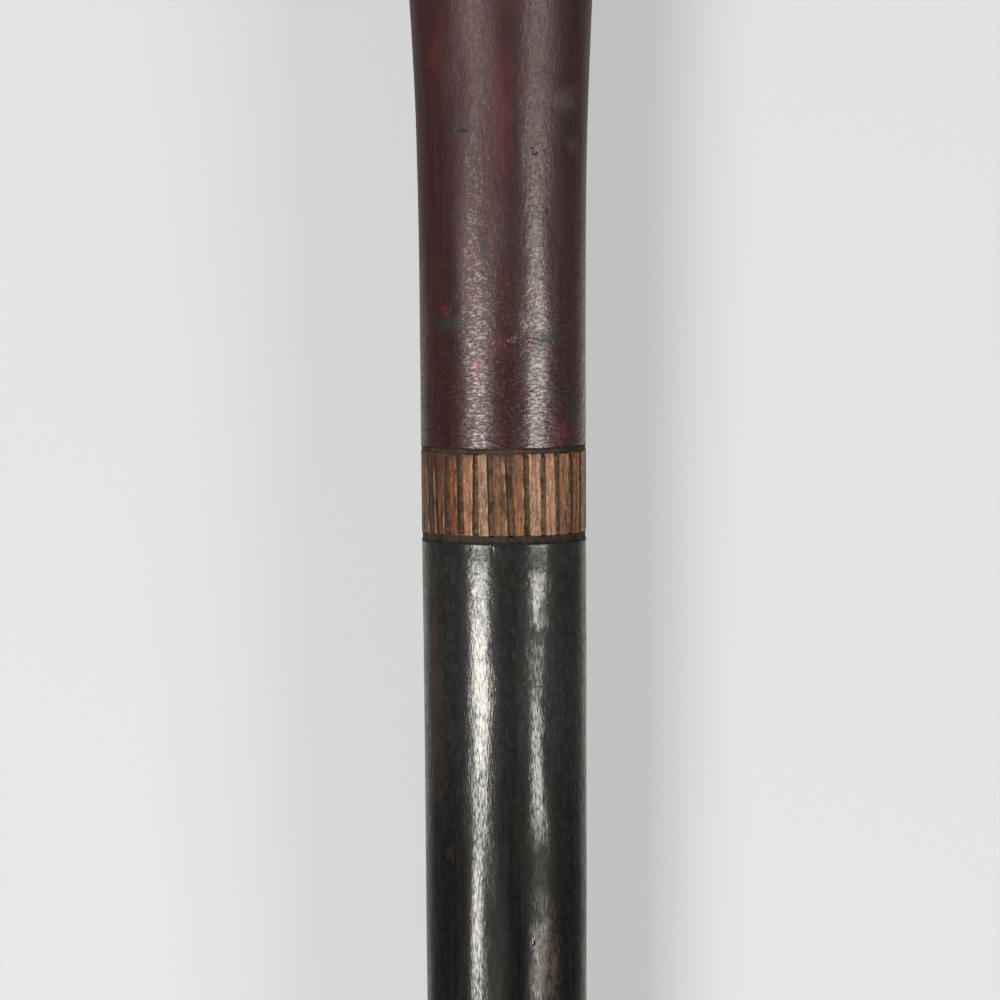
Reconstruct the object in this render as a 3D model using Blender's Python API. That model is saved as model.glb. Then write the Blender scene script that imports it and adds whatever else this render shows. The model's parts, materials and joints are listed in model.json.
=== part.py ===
"""A linguist staff, carved from one piece of wood and painted, lying on its side.

Units are metres and +Z is up. The staff is built along its own axis, from the foot to the
head, as rings of points joined into one closed skin. Three bands of bare wood are carved
with flutes that run along the staff between two ring grooves. The staff is then laid down: it rests on the
collar under its egg-shaped knob and on its foot, where two small flat spots keep it from
rolling.
"""

import math
import random
from collections import namedtuple

import bmesh
import bpy

# Driving dimensions. A place along the staff is its distance from the foot.
STAFF_LENGTH = 1.500
GRIP_RADIUS = 0.0210
FOOT_RADIUS = 0.0165
TAPER_POWER = 1.2

FOOT_SPREAD = 0.0030
FOOT_SPREAD_LENGTH = 0.070
FOOT_ROUNDING = 0.0030

HEAD_RADIUS = 0.0300
HEAD_SPREAD_START = 0.045
HEAD_SPREAD_LENGTH = 0.140
HEAD_SPREAD_POWER = 2.2

# The bands: flutes cut into wood left unpainted, between two ring grooves that are shallower.
LOWER_GROOVE_WIDTH = 0.0022
UPPER_GROOVE_WIDTH = 0.0013
RIDGE_HEIGHT = 0.0202
BAND_HEIGHT = LOWER_GROOVE_WIDTH + RIDGE_HEIGHT + UPPER_GROOVE_WIDTH
RING_GROOVE_DEPTH = 0.0003
FLUTE_DEPTH = 0.0011
FLUTE_RUN_OUT = 0.0005
EDGE_ROUNDING = 0.0004

FLUTES = 30
RIDGE_SHARE = 0.68
RIDGE_SHARE_SPREAD = 0.10
FIRST_RIDGE_ANGLE = math.radians(-2.6)
SPACING_DRIFT = math.radians(6.8)
CARVER_SEED = 7

GRIP_BAND_AT = 1.1763
LOWER_BAND_AT = 0.300
HEAD_BAND_AT = GRIP_BAND_AT + BAND_HEIGHT + HEAD_SPREAD_START + HEAD_SPREAD_LENGTH

# The head: a collar above the last band, and an egg that grows out of it.
COLLAR_HEIGHT = 0.0100
COLLAR_RADIUS = 0.0315
COLLAR_ROUNDING = 0.0025
EGG_RADIUS = 0.0290
EGG_HALF_LENGTH = 0.0420
EGG_POINTEDNESS = 0.12
EGG_START = -0.84
EGG_RINGS = 10

FLAT_SPOT_DEPTH = 0.0004
CUTTER_HEIGHT = 0.05

Ring = namedtuple("Ring", "along ridge valley")


def clear_scene():
    for obj in list(bpy.data.objects):
        bpy.data.objects.remove(obj)


def plain_ring(along, radius):
    return Ring(along, radius, radius)


def shaft_radius(along):
    """The round pole: a slow taper to the foot, a spread at the foot and another at the head."""
    grip_top = GRIP_BAND_AT + BAND_HEIGHT
    radius = FOOT_RADIUS + (GRIP_RADIUS - FOOT_RADIUS) * (along / grip_top) ** TAPER_POWER
    foot_share = max(0.0, 1 - along / FOOT_SPREAD_LENGTH)
    head_share = (along - grip_top - HEAD_SPREAD_START) / HEAD_SPREAD_LENGTH
    head_share = min(1.0, max(0.0, head_share)) ** HEAD_SPREAD_POWER
    radius += FOOT_SPREAD * foot_share**2
    return radius + (HEAD_RADIUS - radius) * head_share


def flute_angles():
    """For each flute, the angles of its ridge's two edges and of the valley after it.

    Angles run from the top of the lying staff. The carver's spacing is a little closer on
    one side of the pole than on the other, and no two ridges are equally wide.
    """
    carver = random.Random(CARVER_SEED)
    step = 2 * math.pi / FLUTES

    def drifted(count):
        even = FIRST_RIDGE_ANGLE + count * step
        return even + SPACING_DRIFT * (1 - math.cos(even))

    angles = []
    for count in range(FLUTES):
        share = RIDGE_SHARE + carver.uniform(-RIDGE_SHARE_SPREAD, RIDGE_SHARE_SPREAD)
        angles.append(drifted(count - share / 2))
        angles.append(drifted(count + share / 2))
        angles.append(drifted(count + 0.5))
    return angles


def foot_rings():
    """The flat end of the foot with its rounded edge, and the spread that fades out above it."""
    widest = shaft_radius(FOOT_ROUNDING)
    rings = []
    for degrees in (0, 45):
        turn = math.radians(degrees)
        inset = FOOT_ROUNDING * (1 - math.sin(turn))
        rings.append(plain_ring(FOOT_ROUNDING * (1 - math.cos(turn)), widest - inset))
    for share in (0.0, 0.25, 0.55, 1.0):
        along = FOOT_ROUNDING + share * (FOOT_SPREAD_LENGTH - FOOT_ROUNDING)
        rings.append(plain_ring(along, shaft_radius(along)))
    return rings


def band_rings(bottom):
    """A fluted band, from the edge of the paint below it to the edge of the paint above it.

    The ring grooves' floors are level with the ends of the flutes, which run out in a slope.
    """
    top = bottom + BAND_HEIGHT
    ridge_bottom = bottom + LOWER_GROOVE_WIDTH
    ridge_top = top - UPPER_GROOVE_WIDTH

    def floor_ring(along):
        return plain_ring(along, shaft_radius(along) - RING_GROOVE_DEPTH)

    def fluted_ring(along):
        return Ring(along, shaft_radius(along), shaft_radius(along) - FLUTE_DEPTH)

    return [
        plain_ring(bottom, shaft_radius(bottom)),
        floor_ring(bottom + EDGE_ROUNDING),
        floor_ring(ridge_bottom - FLUTE_RUN_OUT),
        fluted_ring(ridge_bottom),
        fluted_ring(ridge_top),
        floor_ring(ridge_top + FLUTE_RUN_OUT),
        floor_ring(top - EDGE_ROUNDING),
        plain_ring(top, shaft_radius(top)),
    ]


def stretch_rings(start, end, count):
    """Plain rings that follow the pole between two places, without the two ends themselves."""
    step = (end - start) / (count + 1)
    return [
        plain_ring(start + step * turn, shaft_radius(start + step * turn))
        for turn in range(1, count + 1)
    ]


def egg_ring(height):
    """A ring of the egg, where height runs from -1 at its blunt end to 1 at its tip."""
    radius = EGG_RADIUS * math.sqrt(1 - height**2) * (1 - EGG_POINTEDNESS * height)
    centre = STAFF_LENGTH - EGG_HALF_LENGTH
    return plain_ring(centre + height * EGG_HALF_LENGTH, radius)


def head_rings():
    """The collar with its rounded rims, then the egg, which starts below the collar's top."""
    bottom = HEAD_BAND_AT + BAND_HEIGHT + EDGE_ROUNDING
    top = bottom + COLLAR_HEIGHT
    rings = [
        plain_ring(bottom + COLLAR_ROUNDING, COLLAR_RADIUS),
        plain_ring(top - COLLAR_ROUNDING, COLLAR_RADIUS),
        plain_ring(top, COLLAR_RADIUS - COLLAR_ROUNDING),
    ]
    first_angle = math.asin(EGG_START)
    for turn in range(EGG_RINGS):
        angle = first_angle + (math.pi / 2 - first_angle) * turn / EGG_RINGS
        rings.append(egg_ring(math.sin(angle)))
    return rings


def staff_rings():
    lower_top = LOWER_BAND_AT + BAND_HEIGHT
    grip_top = GRIP_BAND_AT + BAND_HEIGHT
    return (
        foot_rings()
        + stretch_rings(FOOT_SPREAD_LENGTH, LOWER_BAND_AT, 1)
        + band_rings(LOWER_BAND_AT)
        + stretch_rings(lower_top, GRIP_BAND_AT, 1)
        + band_rings(GRIP_BAND_AT)
        + stretch_rings(grip_top, HEAD_BAND_AT, 5)
        + band_rings(HEAD_BAND_AT)
        + head_rings()
    )


def paint(name, colour, roughness):
    material = bpy.data.materials.new(name)
    material.use_nodes = True
    shader = material.node_tree.nodes["Principled BSDF"]
    shader.inputs["Base Color"].default_value = (*colour, 1)
    shader.inputs["Roughness"].default_value = roughness
    shader.inputs["Metallic"].default_value = 0.0
    return material


def paint_index(along):
    """Which material covers a place: 0 is the dark red paint, 1 bare wood and 2 the black."""
    for bottom in (LOWER_BAND_AT, GRIP_BAND_AT, HEAD_BAND_AT):
        if bottom <= along <= bottom + BAND_HEIGHT:
            return 1
    is_red = along < LOWER_BAND_AT or GRIP_BAND_AT < along < HEAD_BAND_AT
    return 0 if is_red else 2


def build_staff():
    """Joins the rings into one skin, closed by the foot's flat end and the egg's tip."""
    angles = flute_angles()
    shape = bmesh.new()
    loops = []
    for ring in staff_rings():
        loop = []
        for count, angle in enumerate(angles):
            is_valley = count % 3 == 2
            radius = ring.valley if is_valley else ring.ridge
            place = (ring.along, -radius * math.sin(angle), radius * math.cos(angle))
            loop.append(shape.verts.new(place))
        loops.append(loop)
    for lower, upper in zip(loops, loops[1:]):
        for here in range(len(angles)):
            after = (here + 1) % len(angles)
            shape.faces.new((lower[here], lower[after], upper[after], upper[here]))
    shape.faces.new(loops[0])
    tip = shape.verts.new((STAFF_LENGTH, 0, 0))
    for here in range(len(angles)):
        shape.faces.new((loops[-1][here], loops[-1][(here + 1) % len(angles)], tip))
    bmesh.ops.recalc_face_normals(shape, faces=shape.faces)
    for face in shape.faces:
        face.material_index = paint_index(face.calc_center_median().x)

    mesh = bpy.data.meshes.new("staff")
    shape.to_mesh(mesh)
    shape.free()
    mesh.materials.append(paint("dark_red_paint", (0.040, 0.012, 0.014), 0.40))
    mesh.materials.append(paint("bare_wood", (0.270, 0.125, 0.060), 0.65))
    mesh.materials.append(paint("black_paint", (0.012, 0.012, 0.012), 0.35))
    mesh.shade_smooth()
    mesh.set_sharp_from_angle(angle=math.radians(35))
    staff = bpy.data.objects.new("staff", mesh)
    bpy.context.scene.collection.objects.link(staff)
    return staff


def lay_down(staff):
    """Lowers the staff on its side, head towards +X, centred over the origin.

    The collar is wider than the foot, so the axis climbs a little towards the head.
    """
    foot_at = FOOT_ROUNDING
    foot_rest = shaft_radius(foot_at)
    collar_at = HEAD_BAND_AT + BAND_HEIGHT + COLLAR_HEIGHT / 2
    climb = math.asin((COLLAR_RADIUS - foot_rest) / (collar_at - foot_at))
    end_radius = foot_rest - FOOT_ROUNDING
    length = STAFF_LENGTH * math.cos(climb)
    lean = end_radius * math.sin(climb)
    staff.rotation_euler = (0, -climb, 0)
    staff.location.x = (lean - length) / 2
    staff.location.z = foot_rest * math.cos(climb) - foot_at * math.sin(climb) - FLAT_SPOT_DEPTH


def cut_flat_spots(staff):
    """Planes off what would be under the floor, which leaves the two flat spots."""
    bpy.ops.mesh.primitive_cube_add(size=1, location=(0, 0, -CUTTER_HEIGHT / 2))
    cutter = bpy.context.object
    cutter.name = "floor_cutter"
    cutter.scale = (2 * STAFF_LENGTH, 4 * COLLAR_RADIUS, CUTTER_HEIGHT)
    cutter.hide_render = True
    cutter.display_type = "WIRE"
    cut = staff.modifiers.new("flat_spots", "BOOLEAN")
    cut.operation = "DIFFERENCE"
    cut.solver = "EXACT"
    cut.object = cutter


def main():
    clear_scene()
    staff = build_staff()
    lay_down(staff)
    cut_flat_spots(staff)


main()
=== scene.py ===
# %% [markdown]
# # A linguist staff, from blank to paint
#
# A linguist staff is the long carved staff that a chief's spokesperson carries. This one is a
# single piece of wood: a round pole, painted dark red and black, with bands of bare wood cut
# with flutes, a flared neck, a collar and an egg-shaped knob. It lies on its side on a pale
# floor, and the camera looks down on it.
#
# The solid model of the staff comes first, and it is the frame for everything here. It gives the
# staff's place and size, and the finished skin that this notebook makes has to stay inside its box.
# So the first cell loads it.

# %% Load the solid staff
import json
import math
import random
from collections import namedtuple

import bpy
from mathutils import Matrix, Vector


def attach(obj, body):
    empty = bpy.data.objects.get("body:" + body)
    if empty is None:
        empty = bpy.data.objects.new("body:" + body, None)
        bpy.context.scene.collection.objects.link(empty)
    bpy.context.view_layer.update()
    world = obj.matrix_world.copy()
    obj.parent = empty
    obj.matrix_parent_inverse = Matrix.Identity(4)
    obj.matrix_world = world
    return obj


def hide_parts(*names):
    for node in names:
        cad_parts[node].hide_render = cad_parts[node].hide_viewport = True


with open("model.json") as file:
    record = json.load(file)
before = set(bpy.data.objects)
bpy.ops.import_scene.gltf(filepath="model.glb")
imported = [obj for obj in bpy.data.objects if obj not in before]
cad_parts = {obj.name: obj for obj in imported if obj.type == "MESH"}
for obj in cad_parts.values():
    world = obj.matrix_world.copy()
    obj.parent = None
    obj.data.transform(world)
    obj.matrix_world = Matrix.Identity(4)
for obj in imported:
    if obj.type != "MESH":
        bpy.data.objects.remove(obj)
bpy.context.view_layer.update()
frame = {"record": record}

# %% [markdown]
# The staff lies with its foot a little lower than its head, because the collar under the knob
# is wider than the foot. The record says where the middle of the foot's flat end is and which
# way it faces. That is enough to know the staff's own axis: all the sizes below are distances
# along it, counted from the foot. `CLIMB` is how steeply the axis rises towards the knob.

# %% Find the staff's axis
foot_end = {mount["name"]: mount for mount in frame["record"]["mounts"]}["foot_end"]
FOOT = Vector(foot_end["pos_m"])
AXIS = -Vector(foot_end["axis"]).normalized()
CLIMB = math.asin(AXIS.z)


def on_axis(along):
    """The point of the staff's axis at a distance from the foot."""
    return FOOT + AXIS * along


print("the staff climbs", round(math.degrees(CLIMB), 2), "degrees towards its head")

# %% [markdown]
# ## Sizes
#
# These are the sizes that the solid was built from, in metres. A carver would hold the same
# few numbers in mind: how thick the pole is at the hand and at the foot, where the bands go,
# how deep a flute is cut, and how far the neck spreads below the knob.

# %% Name the sizes of the staff
STAFF_LENGTH = 1.500
GRIP_RADIUS = 0.0210
FOOT_RADIUS = 0.0165
TAPER_POWER = 1.2

FOOT_SPREAD = 0.0030
FOOT_SPREAD_LENGTH = 0.070
FOOT_ROUNDING = 0.0030

HEAD_RADIUS = 0.0300
HEAD_SPREAD_START = 0.045
HEAD_SPREAD_LENGTH = 0.140
HEAD_SPREAD_POWER = 2.2

LOWER_GROOVE_WIDTH = 0.0022
UPPER_GROOVE_WIDTH = 0.0013
RIDGE_HEIGHT = 0.0202
BAND_HEIGHT = LOWER_GROOVE_WIDTH + RIDGE_HEIGHT + UPPER_GROOVE_WIDTH
RING_GROOVE_DEPTH = 0.0003
FLUTE_DEPTH = 0.0011
FLUTE_RUN_OUT = 0.0005
EDGE_ROUNDING = 0.0004

FLUTES = 30
RIDGE_SHARE = 0.68
RIDGE_SHARE_SPREAD = 0.10
FIRST_RIDGE_ANGLE = math.radians(-2.6)
SPACING_DRIFT = math.radians(6.8)

LOWER_BAND_AT = 0.300
GRIP_BAND_AT = 1.1763
GRIP_TOP = GRIP_BAND_AT + BAND_HEIGHT
HEAD_BAND_AT = GRIP_TOP + HEAD_SPREAD_START + HEAD_SPREAD_LENGTH

COLLAR_AT = HEAD_BAND_AT + BAND_HEIGHT + EDGE_ROUNDING
COLLAR_HEIGHT = 0.0100
COLLAR_TOP = COLLAR_AT + COLLAR_HEIGHT
COLLAR_RADIUS = 0.0315
COLLAR_ROUNDING = 0.0025
EGG_RADIUS = 0.0290
EGG_HALF_LENGTH = 0.0420
EGG_CENTRE = STAFF_LENGTH - EGG_HALF_LENGTH
EGG_POINTEDNESS = 0.12
EGG_START = -0.84
EGG_AT = EGG_CENTRE + EGG_START * EGG_HALF_LENGTH
print("bands start at", LOWER_BAND_AT, GRIP_BAND_AT, round(HEAD_BAND_AT, 4))

# %% [markdown]
# ## Camera
#
# The view is a close-up of about a sixth of the staff, taken with a long lens, so that the
# pole's two edges stay almost parallel. The camera stands over the staff and a little towards
# its head, which makes each ring around the pole sag by a few thousandths. The picture's up is
# towards the knob, and the staff leans in it by a third of a degree. A long lens is the easy way
# to get such a flat view; an orthographic camera would be flatter still, but nothing real looks
# like that.

# %% Put the camera over the fluted band
VIEW_MIDDLE = 1.1859
VIEW_WIDTH = 0.2523
VIEW_SIDE_STEP = 0.0010
VIEW_TILT = math.radians(4.4)
VIEW_LEAN = math.radians(0.36)
CAMERA_DISTANCE = 2.5
SENSOR_WIDTH_MM = 36.0

camera = bpy.data.objects.new("camera", bpy.data.cameras.new("camera"))
bpy.context.scene.collection.objects.link(camera)
bpy.context.scene.camera = camera
camera.data.sensor_width = SENSOR_WIDTH_MM
camera.data.lens = SENSOR_WIDTH_MM * CAMERA_DISTANCE / VIEW_WIDTH

up_from_staff = Vector((0, 0, 1)) - AXIS * AXIS.z
towards_camera = Matrix.Rotation(VIEW_TILT, 4, "Y") @ up_from_staff.normalized()
staff_in_view = AXIS - towards_camera * AXIS.dot(towards_camera)
picture_up = Matrix.Rotation(-VIEW_LEAN, 4, towards_camera) @ staff_in_view
picture_up.normalize()
picture_right = picture_up.cross(towards_camera)
aim = on_axis(VIEW_MIDDLE) - picture_right * VIEW_SIDE_STEP
turned = Matrix((picture_right, picture_up, towards_camera)).transposed().to_4x4()
camera.matrix_world = Matrix.Translation(aim + towards_camera * CAMERA_DISTANCE) @ turned
print("lens:", round(camera.data.lens), "mm, from", CAMERA_DISTANCE, "m")

# %% [markdown]
# ## Nodes as arithmetic
#
# Both the shape and the paint are made with nodes, and both kinds of tree use the same Math
# node. Written out one node at a time, a formula is hard to read. A `Field` wraps a socket, and
# each `+`, `*` or `**` on it adds the Math node that does the sum. `put` adds any other node and
# feeds its inputs, which may be numbers, other sockets or fields.

# %% Make nodes that can be added and multiplied
def put(tree, kind, feeds=None, **settings):
    """Adds a node. Settings are the node's options, and feeds are values for its inputs."""
    node = tree.nodes.new(kind)
    for name, value in settings.items():
        setattr(node, name, value)
    shown = [socket for socket in node.inputs if socket.enabled]
    for key, value in (feeds or {}).items():
        is_place = isinstance(key, int)
        socket = shown[key] if is_place else next(each for each in shown if each.name == key)
        if isinstance(value, Field):
            value = value.socket
        if isinstance(value, bpy.types.NodeSocket):
            tree.links.new(value, socket)
        else:
            socket.default_value = value
    return node


def maths(tree, operation, *values, clamp=False):
    """Adds a Math node and returns its result."""
    feeds = dict(enumerate(values))
    node = put(tree, "ShaderNodeMath", feeds, operation=operation, use_clamp=clamp)
    return Field(tree, node.outputs[0])


class Field:
    """A socket to calculate with. Each sum, product or power adds a Math node to its tree."""

    def __init__(self, tree, socket):
        self.tree = tree
        self.socket = socket

    def __add__(self, other):
        return maths(self.tree, "ADD", self, other)

    def __sub__(self, other):
        return maths(self.tree, "SUBTRACT", self, other)

    def __rsub__(self, other):
        return maths(self.tree, "SUBTRACT", other, self)

    def __mul__(self, other):
        return maths(self.tree, "MULTIPLY", self, other)

    def __truediv__(self, other):
        return maths(self.tree, "DIVIDE", self, other)

    def __pow__(self, other):
        return maths(self.tree, "POWER", self, other)

    def __mod__(self, other):
        return maths(self.tree, "FLOORED_MODULO", self, other)

    __radd__ = __add__
    __rmul__ = __mul__


print("fields can be calculated with")

# %% [markdown]
# A pattern or a step is a number from 0 to 1 at each point: a mask. These few helpers make masks
# and blend with them, and everything that follows, from a groove's depth to a stain's colour, is
# built up from them.

# %% Make masks
def held(value):
    """The value kept between 0 and 1."""
    return maths(value.tree, "ADD", value, 0.0, clamp=True)


def most(value, other):
    """The larger of two."""
    return maths(value.tree, "MAXIMUM", value, other)


def least(value, other):
    """The smaller of two."""
    return maths(value.tree, "MINIMUM", value, other)


def at_least(value, limit):
    """1 where the value has reached the limit, 0 below it."""
    return 1 - maths(value.tree, "LESS_THAN", value, limit)


def within(value, start, end):
    """1 from start up to end, 0 before and after."""
    return at_least(value, start) * (1 - at_least(value, end))


def ease(value, start, end):
    """Rises smoothly from 0 at start to 1 at end."""
    feeds = {"Value": value, "From Min": start, "From Max": end}
    node = put(value.tree, "ShaderNodeMapRange", feeds, interpolation_type="SMOOTHSTEP")
    return Field(value.tree, node.outputs[0])


def between(value, start, end, soft):
    """1 between start and end, with a soft step just inside each."""
    return ease(value, start, start + soft) * (1 - ease(value, end - soft, end))


def shift(first, second, share):
    """Goes from the first to the second as share goes from 0 to 1."""
    return share * (second - first) + first


print("masks ready")

# %% Make places and noise
def vector(tree, x, y, z):
    """A place or a direction made of three numbers."""
    return Field(tree, put(tree, "ShaderNodeCombineXYZ", {"X": x, "Y": y, "Z": z}).outputs[0])


def parts(place):
    """The three numbers of a vector."""
    node = put(place.tree, "ShaderNodeSeparateXYZ", {0: place})
    return [Field(place.tree, socket) for socket in node.outputs]


def noise(place, detail=2.0, roughness=0.5, distortion=0.0):
    """Soft random values from 0 to 1, one feature to each unit of the place."""
    feeds = {"Vector": place, "Scale": 1.0, "Detail": detail}
    feeds.update({"Roughness": roughness, "Distortion": distortion})
    return Field(place.tree, put(place.tree, "ShaderNodeTexNoise", feeds).outputs[0])


def patches(place, length, width, **settings):
    """Noise in patches of a length along the staff and a width around it, in metres."""
    x, y, z = parts(place)
    return noise(vector(place.tree, x / length, y / width, z / width), **settings)


print("places and noise ready")

# %% [markdown]
# ## The blank
#
# A turner starts from a blank, a rod with nothing on it yet. Here the blank is a tube of mesh
# whose only job is to have its points where the carving needs them. Rings of points stand
# along the axis: far apart on the plain pole, and close together in the bands. Each ring has
# five columns of points to a flute, two spans for the ridge and three for the groove beside
# it, and in the band at the hand each of those is split in three. A strip of triangles joins a
# coarse ring to a fine one, so that the mesh stays closed.
#
# A grid or a cylinder with a Subdivision modifier would need the finest spacing everywhere,
# several million faces for a pole this long.

# %% Name the spacing of the blank
COLUMNS_PER_FLUTE = 5
RIDGE_SPANS = 2
COLUMNS = FLUTES * COLUMNS_PER_FLUTE
FINE_SPLIT = 3
CLOSE_UP_FROM = 1.056
CLOSE_UP_TO = 1.318
BAND_MARGIN = 0.0006

FOOT_STEP = 0.007
LOWER_STEP = 0.019
SHAFT_STEP = 0.020
CLOSE_UP_STEP = 0.00115
NECK_STEP = 0.005
BAND_STEP = 0.0010
GRIP_BAND_STEP = 0.00030
COLLAR_STEP = 0.0006
SLOPE_STEP = 0.0012
FOOT_ARC_RINGS = 6
EGG_ARC_RINGS = 32
print(COLUMNS, "columns around the pole, and", COLUMNS * FINE_SPLIT, "in the band at the hand")

# %% Space the rings along the blank
def rings(start, end, step, fine=False):
    """Evenly spaced rings as (distance from the foot, whether fine), without the last one."""
    count = max(1, round((end - start) / step))
    return [(start + (end - start) * turn / count, fine) for turn in range(count)]


def arc_rings(start, end, turn_from, turn_to, count):
    """Rings that crowd together towards an end where the outline turns steep."""
    low = math.sin(math.radians(turn_from))
    high = math.sin(math.radians(turn_to))
    found = []
    for turn in range(count):
        degrees = turn_from + (turn_to - turn_from) * turn / count
        share = (math.sin(math.radians(degrees)) - low) / (high - low)
        found.append((start + (end - start) * share, False))
    return found


def band_rings(band_at, step, fine=False):
    """The rings of a band, and of a margin on either side of it."""
    return rings(band_at - BAND_MARGIN, band_at + BAND_HEIGHT + BAND_MARGIN, step, fine)


def all_rings():
    """Every ring of the blank, from the foot to the tip of the egg."""
    egg_turn = math.degrees(math.asin(EGG_START))
    return (
        arc_rings(0, FOOT_ROUNDING, -90, 0, FOOT_ARC_RINGS)
        + rings(FOOT_ROUNDING, FOOT_SPREAD_LENGTH, FOOT_STEP)
        + rings(FOOT_SPREAD_LENGTH, LOWER_BAND_AT - BAND_MARGIN, LOWER_STEP)
        + band_rings(LOWER_BAND_AT, BAND_STEP)
        + rings(LOWER_BAND_AT + BAND_HEIGHT + BAND_MARGIN, CLOSE_UP_FROM, SHAFT_STEP)
        + rings(CLOSE_UP_FROM, GRIP_BAND_AT - BAND_MARGIN, CLOSE_UP_STEP)
        + band_rings(GRIP_BAND_AT, GRIP_BAND_STEP, fine=True)
        + rings(GRIP_TOP + BAND_MARGIN, CLOSE_UP_TO, CLOSE_UP_STEP)
        + rings(CLOSE_UP_TO, HEAD_BAND_AT - BAND_MARGIN, NECK_STEP)
        + band_rings(HEAD_BAND_AT, BAND_STEP)
        + rings(COLLAR_AT + EDGE_ROUNDING, COLLAR_TOP, COLLAR_STEP)
        + rings(COLLAR_TOP, EGG_AT, SLOPE_STEP)
        + arc_rings(EGG_AT, STAFF_LENGTH, egg_turn, 90, EGG_ARC_RINGS)
    )


print(len(all_rings()), "rings along the staff")

# %% [markdown]
# Before any cut, the carver marks where each ridge begins and ends around the pole. The table
# below holds the ridges that face up in the band at the hand, as they were cut: both edges at
# the bottom and at the top, in degrees from the top of the pole, how far each end falls short,
# and two numbers about the wood, how light and how warm it is. All the other ridges take the
# solid's even spacing and a seeded wobble: `RIDGE_LEAN` is the most degrees that one may lean,
# and each of the four ranges after it says from what to what one of those numbers may fall.

# %% Mark out the ridges
RIDGE_LEAN = 0.8
SHORT_LOW = (-0.0002, 0.0005)
SHORT_HIGH = (-0.0001, 0.0003)
LIGHT = (0.15, 0.60)
WARM = (0.0, 0.6)
Ridge = namedtuple("Ridge", "left right left_top right_top short_low short_high light warm")

SEEN_RIDGES = {
    -7: Ridge(-84.3, -76.6, -84.5, -77.0, 0.0003, 0.0001, 0.14, 0.00),
    -6: Ridge(-73.8, -65.0, -74.0, -68.5, 0.0004, 0.0000, 0.13, 0.00),
    -5: Ridge(-61.5, -54.9, -64.3, -58.3, 0.0005, 0.0002, 0.05, 0.55),
    -4: Ridge(-51.8, -46.6, -53.4, -46.6, 0.0005, 0.0006, 0.15, 0.90),
    -3: Ridge(-40.0, -34.8, -41.2, -35.2, 0.0006, 0.0002, 0.21, 1.10),
    -2: Ridge(-28.7, -23.1, -30.2, -22.1, 0.0003, 0.0001, 0.40, 0.45),
    -1: Ridge(-18.0, -11.1, -18.6, -12.1, 0.0000, 0.0003, 0.40, 0.00),
    0: Ridge(-6.3, 2.8, -7.9, 0.2, -0.0002, 0.0002, 0.18, 0.45),
    1: Ridge(8.2, 14.3, 5.4, 13.3, 0.0000, 0.0001, 0.29, 0.45),
    2: Ridge(18.8, 26.2, 17.6, 26.4, 0.0000, 0.0001, 0.52, 0.00),
    3: Ridge(31.2, 38.9, 30.4, 36.9, 0.0000, 0.0000, 0.57, 0.10),
    4: Ridge(43.8, 50.6, 42.2, 51.2, 0.0000, 0.0001, 0.36, 0.50),
    5: Ridge(56.8, 64.8, 56.8, 66.3, 0.0004, 0.0001, 0.28, 0.60),
    6: Ridge(69.6, 79.5, 68.9, 79.5, 0.0004, -0.0001, 0.33, 0.05),
    7: Ridge(83.4, 91.0, 83.2, 91.2, 0.0003, 0.0001, 0.30, 0.10),
}


def even_angle(count):
    """The angle in degrees of the middle of a ridge, or of any place between two."""
    even = FIRST_RIDGE_ANGLE + 2 * math.pi * count / FLUTES
    return math.degrees(even + SPACING_DRIFT * (1 - math.cos(even)))


def carved_ridge(count, carver):
    """A ridge with its own width, lean, ends and tint."""
    share = RIDGE_SHARE + carver.uniform(-RIDGE_SHARE_SPREAD, RIDGE_SHARE_SPREAD)
    lean = carver.uniform(-RIDGE_LEAN, RIDGE_LEAN)
    left = even_angle(count - share / 2)
    right = even_angle(count + share / 2)
    rest = [carver.uniform(*span) for span in (SHORT_LOW, SHORT_HIGH, LIGHT, WARM)]
    return Ridge(left + lean, right + lean, left - lean, right - lean, *rest)


def band_ridges(seed, seen):
    """The thirty ridges of a band, counted around the pole from the one on top."""
    carver = random.Random(seed)
    ridges = [carved_ridge(count, carver) for count in range(FLUTES)]
    for count, ridge in seen.items():
        ridges[count % FLUTES] = ridge
    return ridges


BANDS = {
    LOWER_BAND_AT: band_ridges(21, {}),
    GRIP_BAND_AT: band_ridges(7, SEEN_RIDGES),
    HEAD_BAND_AT: band_ridges(33, {}),
}
print("ridges in each band:", [len(ridges) for ridges in BANDS.values()])

# %% [markdown]
# Each ring of the blank takes its columns from those marks: two spans over a ridge, and three
# over the groove beside it, down one wall, along the floor and up the other wall. Away from the
# bands the columns ease back to the even spacing. The points also keep some numbers for the
# tree and the paint to read: `along` and `column`, the angle in `turn`, how far the ends of the
# ridge fall short, and the two tints of the wood. They stay when the shape changes.

# %% Place the columns of a ring
WALL_SHARE = 0.24
SPREAD_OUT = 0.020


def unwound(angle, near):
    """The same angle counted from the turn of the pole that is nearest to another angle."""
    return angle - 360 * round((angle - near) / 360)


def ridge_columns(ridges, height):
    """The angles of all coarse columns at a height of 0 to 1 in a band, and of one more."""
    edges = []
    for count, ridge in enumerate(ridges):
        middle = even_angle(count)
        left = unwound(ridge.left + (ridge.left_top - ridge.left) * height, middle)
        right = unwound(ridge.right + (ridge.right_top - ridge.right) * height, middle)
        edges.append((left, right))
    edges.append((edges[0][0] + 360, edges[0][1] + 360))
    columns = []
    for (left, right), (next_left, _) in zip(edges, edges[1:]):
        groove = next_left - right
        columns += [left, (left + right) / 2, right]
        columns += [right + groove * WALL_SHARE, next_left - groove * WALL_SHARE]
    return columns + [columns[0] + 360]


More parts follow.
